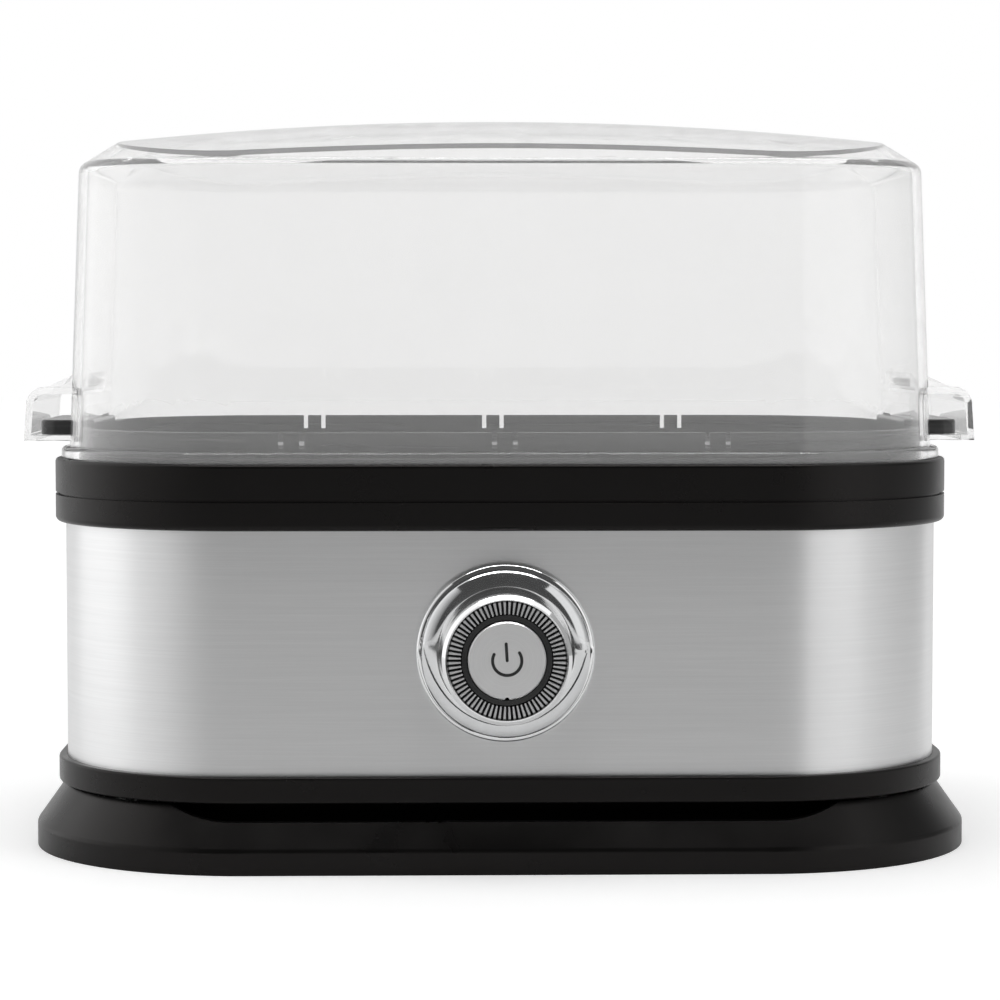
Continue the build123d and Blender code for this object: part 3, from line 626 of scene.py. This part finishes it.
@dataclass
class PowerDial:
    """Chrome bezel and knob, the light ring, and the button with its spring and printed sign."""

    shop: Workshop
    chrome: Finish = PlatedMetal("chrome", CHROME)
    knob: Finish = SerratedChrome("serrated_chrome", CHROME)
    face: Finish = TurnedMetal("satin_button", grey(0.78))
    smoked: Finish = MouldedPlastic(
        "smoked_guide", grey(0.01), roughness=0.14, spread=0.04, shine=0.5
    )
    dark: Finish = MouldedPlastic("switch_plastic", grey(0.03), roughness=0.45)
    brass: Finish = PlatedMetal("brass", (0.7, 0.54, 0.26, 1.0), roughness=0.3)
    spring: Finish = PlatedMetal("spring_steel", grey(0.55), roughness=0.25)
    ink: Finish = Speckled("sign_ink", grey(0.01), grey(0.02), roughness=0.5)
    button_travel: float = 1.5 * MM
    sign_radius: float = 3.0 * MM
    sign_stroke: float = 0.64 * MM
    sign_open_deg: float = 60.0
    sign_turn_deg: float = 3.6
    bar_top: float = 3.5 * MM
    bar_bottom: float = 0.05 * MM
    ink_lift: float = 0.03 * MM
    arc_steps: int = 48
    cap_steps: int = 8
    cap_least: float = 0.02

    def finish(self) -> None:
        """Dresses the dial's pieces, fits the spring and prints the sign."""
        self.shop.dress(self.chrome, ("dial_bezel",))
        self.shop.dress(self.knob, ("dial_knob",))
        self.shop.dress(self.face, ("power_button",))
        self.shop.dress(self.smoked, ("light_guide",))
        self.shop.dress(
            self.dark, ("button_stem", "switch_body", "switch_plunger", "selector_ring")
        )
        self.shop.dress(self.brass, ("bezel_nut",))
        self.shop.dress(self.spring, ("dial_retainer", "button_spring"))
        self.fit_spring()
        self.print_sign()

    def fit_spring(self) -> None:
        """Puts a coil of the spring's shape in its place, on the base, and hides the imported spring.
        """
        data = self.shop.nodes["button_spring"].data.copy()
        coil = self.shop.add("spring_coil", data, self.spring, Body.BASE, "zinc_steel")
        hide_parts("button_spring")
        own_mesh(coil)

    def cap(self, end: Row, sign: float) -> list[Row]:
        """Rounds off one end of a line of ink.

        Args:
            end: the line's last row.
            sign: 1 where the line goes on past that row, -1 where it goes back.

        Returns:
            The rows of the round end, from the line outwards.
        """
        place, way, half = end
        rows = []
        for step in range(1, self.cap_steps + 1):
            angle = math.pi / 2 * step / self.cap_steps
            width = max(half * math.cos(angle), half * self.cap_least)
            rows.append((place + way * sign * half * math.sin(angle), way, width))
        return rows

    def spine(self, middle: Sequence[Flat]) -> list[Row]:
        """Follows a line of ink from one round end to the other.

        Args:
            middle: points along the line's middle, across and up from the dial's axis.

        Returns:
            Rows of a place, the line's direction there and half its width.
        """
        points = [Vector(point) for point in middle]
        last = len(points) - 1
        rows = []
        for i, point in enumerate(points):
            way = (points[min(i + 1, last)] - points[max(i - 1, 0)]).normalized()
            rows.append((point, way, self.sign_stroke / 2))
        return self.cap(rows[0], -1.0)[::-1] + rows + self.cap(rows[-1], 1.0)

    def stroke(self, mesh: bmesh.types.BMesh, middle: Sequence[Flat], front: float) -> None:
        """Adds one line of ink with round ends.

        Args:
            mesh: takes the new faces.
            middle: points along the line's middle, across and up from the dial's axis.
            front: where the button's face lies along Y.
        """
        turn = math.radians(self.sign_turn_deg)
        ribs = []
        for point, way, reach in self.spine(middle):
            rib = []
            side = Vector((-way.y, way.x)) * reach
            for across, up in (point + side, point - side):
                x = across * math.cos(turn) - up * math.sin(turn)
                z = across * math.sin(turn) + up * math.cos(turn) + DIAL_HEIGHT
                rib.append(mesh.verts.new((x, front - self.ink_lift, z)))
                rib.append(mesh.verts.new((x, front, z)))
            ribs.append(rib)
        for a, b in zip(ribs, ribs[1:]):
            mesh.faces.new((a[0], b[0], b[2], a[2]))
            mesh.faces.new((a[1], a[3], b[3], b[1]))
            mesh.faces.new((a[0], a[1], b[1], b[0]))
            mesh.faces.new((a[2], b[2], b[3], a[3]))
        for rib in (ribs[0], ribs[-1]):
            mesh.faces.new((rib[0], rib[2], rib[3], rib[1]))

    def print_sign(self) -> None:
        """Prints the arc and the bar of the power sign on the button's face."""
        low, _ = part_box("power_button")
        first = math.radians(90.0 + self.sign_open_deg)
        sweep = math.radians(360.0 - 2.0 * self.sign_open_deg)
        arc = []
        for step in range(self.arc_steps + 1):
            angle = first + sweep * step / self.arc_steps
            arc.append((self.sign_radius * math.cos(angle), self.sign_radius * math.sin(angle)))
        heights = (self.bar_top, (self.bar_top + self.bar_bottom) / 2, self.bar_bottom)
        bar = [(0.0, height) for height in heights]
        mesh = bmesh.new()
        self.stroke(mesh, arc, low.y)
        self.stroke(mesh, bar, low.y)
        bmesh.ops.recalc_face_normals(mesh, faces=mesh.faces)
        data = bpy.data.meshes.new("power_sign")
        mesh.to_mesh(data)
        mesh.free()
        self.shop.add("power_sign", data, self.ink, Body.BUTTON, "smoked_plastic")


@dataclass
class Electronics:
    """Control board and the mains side, all inside the housing but for the gland."""

    shop: Workshop
    board: Finish = Speckled(
        "board_resist", RESIST, tinted(RESIST, 1.4), roughness=0.35, specks=700.0
    )
    lamps: Finish = Speckled("lamp_white", grey(0.8), grey(0.88), roughness=0.35)
    dark: Finish = MouldedPlastic("component_plastic", grey(0.03), roughness=0.45)
    blue: Finish = MouldedPlastic("relay_plastic", (0.03, 0.08, 0.3, 1.0), roughness=0.32)
    white: Finish = MouldedPlastic("block_plastic", grey(0.74, 0.01), roughness=0.38)
    brown: Finish = MouldedPlastic("lead_silicone", (0.26, 0.07, 0.04, 1.0), roughness=0.4)
    rubber: Finish = Speckled("gland_rubber", grey(0.02), grey(0.03), roughness=0.6)

    def finish(self) -> None:
        """Dresses the electrical pieces."""
        self.shop.dress(self.board, ("control_board",))
        self.shop.dress(self.lamps, ("board_leds",))
        self.shop.dress(self.dark, ("buzzer",))
        self.shop.dress(self.blue, ("relay",))
        self.shop.dress(self.white, ("terminal_block",))
        self.shop.dress(self.brown, ("heater_leads", "board_leads"))
        self.shop.dress(self.rubber, ("cord_gland",))


@dataclass(frozen=True)
class SoftBox:
    """A soft lamp, whose face looks as bright as its radiance, where 1 is white."""

    name: str
    place: Point
    size: Flat
    radiance: float


@dataclass
class Studio:
    """White floor and surround, soft lamps, cards that the metal mirrors, and the camera."""

    distance: float = 0.7
    azimuth_deg: float = -1.25
    eye_height: float = 114.6 * MM
    aim: Point = (0.4 * MM, 0.0, 74.4 * MM)
    lens: float = 108.6
    sensor: float = 36.0

    sky: float = 0.55
    dusk: float = 0.08
    dusk_front: float = -0.1
    dusk_rear: float = 0.3

    floor_reach: float = 4.0
    floor_dark: float = 0.86
    floor_light: float = 0.88
    floor_mottle: float = 9.0
    floor_detail: float = 3.0
    floor_roughness: float = 0.9
    floor_shine: float = 0.1
    lift_start: float = 0.25
    lift_end: float = 1.5
    lift_near: float = 0.34
    lift_far: float = 0.52
    mirror_share: float = 0.25

    card_side: float = 1.4
    card_tall: float = 1.7
    card_front: float = -2.4
    card_rear: float = 1.2
    left_glow: tuple[float, ...] = (0.15, 0.55, 0.9, 1.4, 1.45, 0.8)
    left_places: tuple[float, ...] = (-1.2, -0.5, 0.0, 0.9)
    right_glow: tuple[float, ...] = (0.45, 1.0, 1.0, 0.5, 0.18, 0.3)
    right_places: tuple[float, ...] = (-2.1, -0.7, -0.3, 0.6)
    back_glow: float = 0.8
    top_near: float = -0.3
    top_height: float = 1.3
    top_glow: Flat = (1.2, 0.7)
    strip_half: float = 0.6
    strip_near: float = -0.34
    strip_far: float = -0.16
    strip_height: float = 1.2
    strip_glow: float = 8.0
    flag_half: float = 0.5
    flag_glow: float = 0.01
    near_flag: Flat = (-0.175, -0.15)
    far_flag: Flat = (-0.56, -0.42)

    lamp_aim: Point = (0.0, 0.0, 0.07)
    boxes: tuple[SoftBox, ...] = (
        SoftBox("left_box", (-1.2, 0.08, 0.45), (0.62, 0.9), 2.2),
        SoftBox("right_box", (0.95, -0.72, 0.45), (0.6, 0.9), 1.9),
        SoftBox("top_box", (0.0, -0.1, 1.5), (1.2, 1.0), 1.1),
    )

    def surround(self) -> None:
        """Makes a white surround: seen white, an even light, dim in front where gloss mirrors it."""
        world = bpy.data.worlds.new("white_surround")
        bpy.context.scene.world = world
        world.use_nodes = True
        world.node_tree.nodes.clear()
        tree = Tree(world.node_tree)
        way = tree.add("ShaderNodeTexCoord").outputs["Generated"]
        split = tree.add("ShaderNodeSeparateXYZ", {0: way})
        fade = tree.remap(split.outputs["Y"], self.dusk_front, self.dusk_rear, self.dusk)
        path = tree.add("ShaderNodeLightPath")
        strength: Any = self.sky
        rays = (("Is Glossy Ray", fade), ("Is Transmission Ray", 1.0), ("Is Camera Ray", 1.0))
        for ray, value in rays:
            inputs = {"Factor": path.outputs[ray], "A": strength, "B": value}
            strength = tree.add("ShaderNodeMix", inputs).outputs["Result"]
        light = {"Color": grey(1.0), "Strength": strength}
        sky = tree.add("ShaderNodeBackground", light).outputs[0]
        tree.add("ShaderNodeOutputWorld", {"Surface": sky})

    def plane(
        self, name: str, corners: Sequence[Point], material: bpy.types.Material
    ) -> bpy.types.Object:
        """Makes a flat piece of the studio.

        Args:
            name: its name.
            corners: its four corners in order.
            material: its material.

        Returns:
            The new object.
        """
        data = bpy.data.meshes.new(name)
        data.from_pydata(corners, [], [(0, 1, 2, 3)])
        data.materials.append(material)
        piece = bpy.data.objects.new(name, data)
        bpy.context.scene.collection.objects.link(piece)
        return piece

    def floor(self) -> None:
        """Lays a plain pale floor that stays white where no shadow falls."""
        graph = Graph("pale_floor")
        place = graph.place(Pattern.CLOUD)
        mottle = graph.noise(place, self.floor_mottle, self.floor_detail)
        reach = graph.vector("LENGTH", place).outputs["Value"]
        lift = graph.remap(reach, self.lift_start, self.lift_end, self.lift_near, self.lift_far)
        path = graph.add("ShaderNodeLightPath").outputs
        seen = graph.maths("MAXIMUM", path["Is Camera Ray"], path["Is Transmission Ray"])
        mirrored = graph.maths("MULTIPLY", path["Is Glossy Ray"], self.mirror_share)
        seen = graph.maths("MAXIMUM", seen, mirrored)
        graph.dress(
            Base_Color=graph.shade(mottle, grey(self.floor_dark), grey(self.floor_light)),
            Roughness=self.floor_roughness,
            Specular_IOR_Level=self.floor_shine,
            Emission_Color=grey(1.0),
            Emission_Strength=graph.maths("MULTIPLY", lift, seen),
        )
        far = self.floor_reach
        self.plane("floor", level(far, -far, far, 0.0), graph.material)

    def card(
        self, name: str, corners: Sequence[Point], axis: str, stops: Sequence[Flat]
    ) -> None:
        """Stands a card that only metal and gloss mirror.

        Args:
            name: its name.
            corners: its four corners in order.
            axis: the axis along which its brightness changes.
            stops: places along that axis, each with the brightness there.
        """
        graph = Graph(name)
        low, high = stops[0][0], stops[-1][0]
        gain = max(value for _, value in stops)
        ramp = graph.add("ShaderNodeValToRGB", {"Fac": graph.along(axis, low, high)})
        steps = ramp.color_ramp.elements
        while len(steps) < len(stops):
            steps.new(0.5)
        for step, (place, value) in zip(steps, stops):
            step.position = (place - low) / (high - low)
            step.color = grey(value / gain)
        graph.dress(
            Base_Color=grey(0.0),
            Specular_IOR_Level=0.0,
            Emission_Color=ramp.outputs["Color"],
            Emission_Strength=gain,
        )
        card = self.plane(name, corners, graph.material)
        card.visible_camera = False
        card.visible_diffuse = False
        card.visible_transmission = False
        card.visible_shadow = False

    def cards(self) -> None:
        """Stands the cards that the steel and the chrome mirror."""
        side, tall, front, rear = self.card_side, self.card_tall, self.card_front, self.card_rear
        walls = (
            ("left_card", -side, self.left_places, self.left_glow),
            ("right_card", side, self.right_places, self.right_glow),
        )
        for name, x, places, glow in walls:
            wall = [(x, front, 0.0), (x, rear, 0.0), (x, rear, tall), (x, front, tall)]
            self.card(name, wall, "Y", list(zip((front, *places, rear), glow)))
        back = [(-side, rear, 0.0), (side, rear, 0.0), (side, rear, tall), (-side, rear, tall)]
        self.card("back_card", back, "X", ((-side, self.back_glow), (side, self.back_glow)))
        over = level(side, self.top_near, rear, self.top_height)
        self.card("top_card", over, "Y", ((self.top_near, self.top_glow[0]), (rear, self.top_glow[1])))
        half = self.strip_half
        strip = level(half, self.strip_near, self.strip_far, self.strip_height)
        self.card("strip_card", strip, "X", ((-half, self.strip_glow), (half, self.strip_glow)))
        half = self.flag_half
        for name, ends in (("near_flag", self.near_flag), ("far_flag", self.far_flag)):
            flag = level(half, ends[0], ends[1], MM)
            self.card(name, flag, "X", ((-half, self.flag_glow), (half, self.flag_glow)))

    def lamp(self, box: SoftBox) -> None:
        """Hangs a soft box."""
        data = bpy.data.lights.new(box.name, "AREA")
        data.shape = "RECTANGLE"
        data.size, data.size_y = box.size
        data.energy = box.radiance * math.pi * box.size[0] * box.size[1]
        lamp = bpy.data.objects.new(box.name, data)
        lamp.location = box.place
        way = Vector(self.lamp_aim) - Vector(box.place)
        lamp.rotation_euler = way.to_track_quat("-Z", "Y").to_euler()
        lamp.visible_camera = False
        lamp.visible_glossy = False
        lamp.visible_transmission = False
        bpy.context.scene.collection.objects.link(lamp)

    def camera(self) -> None:
        """Sets the camera at the photograph's viewing angle."""
        turn = math.radians(self.azimuth_deg)
        data = bpy.data.cameras.new("camera")
        data.lens = self.lens
        data.sensor_width = self.sensor
        camera = bpy.data.objects.new("camera", data)
        across = self.distance * math.sin(turn)
        eye = Vector((across, -self.distance * math.cos(turn), self.eye_height))
        camera.location = eye
        camera.rotation_euler = (Vector(self.aim) - eye).to_track_quat("-Z", "Y").to_euler()
        bpy.context.scene.collection.objects.link(camera)
        bpy.context.scene.camera = camera

    def build(self) -> None:
        """Sets up the whole studio."""
        bpy.context.scene.view_settings.view_transform = "Standard"
        self.surround()
        self.floor()
        self.cards()
        for box in self.boxes:
            self.lamp(box)
        self.camera()


def main() -> None:
    """Builds the sub-assemblies in order, then the studio."""
    logging.basicConfig(level=logging.INFO, format="%(name)s %(message)s")
    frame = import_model()
    shop = Workshop(frame["nodes"])
    Housing(shop).finish()
    Cooker(shop).finish()
    PowerDial(shop).finish()
    Electronics(shop).finish()
    Studio().build()


if __name__ == "__main__":
    main()
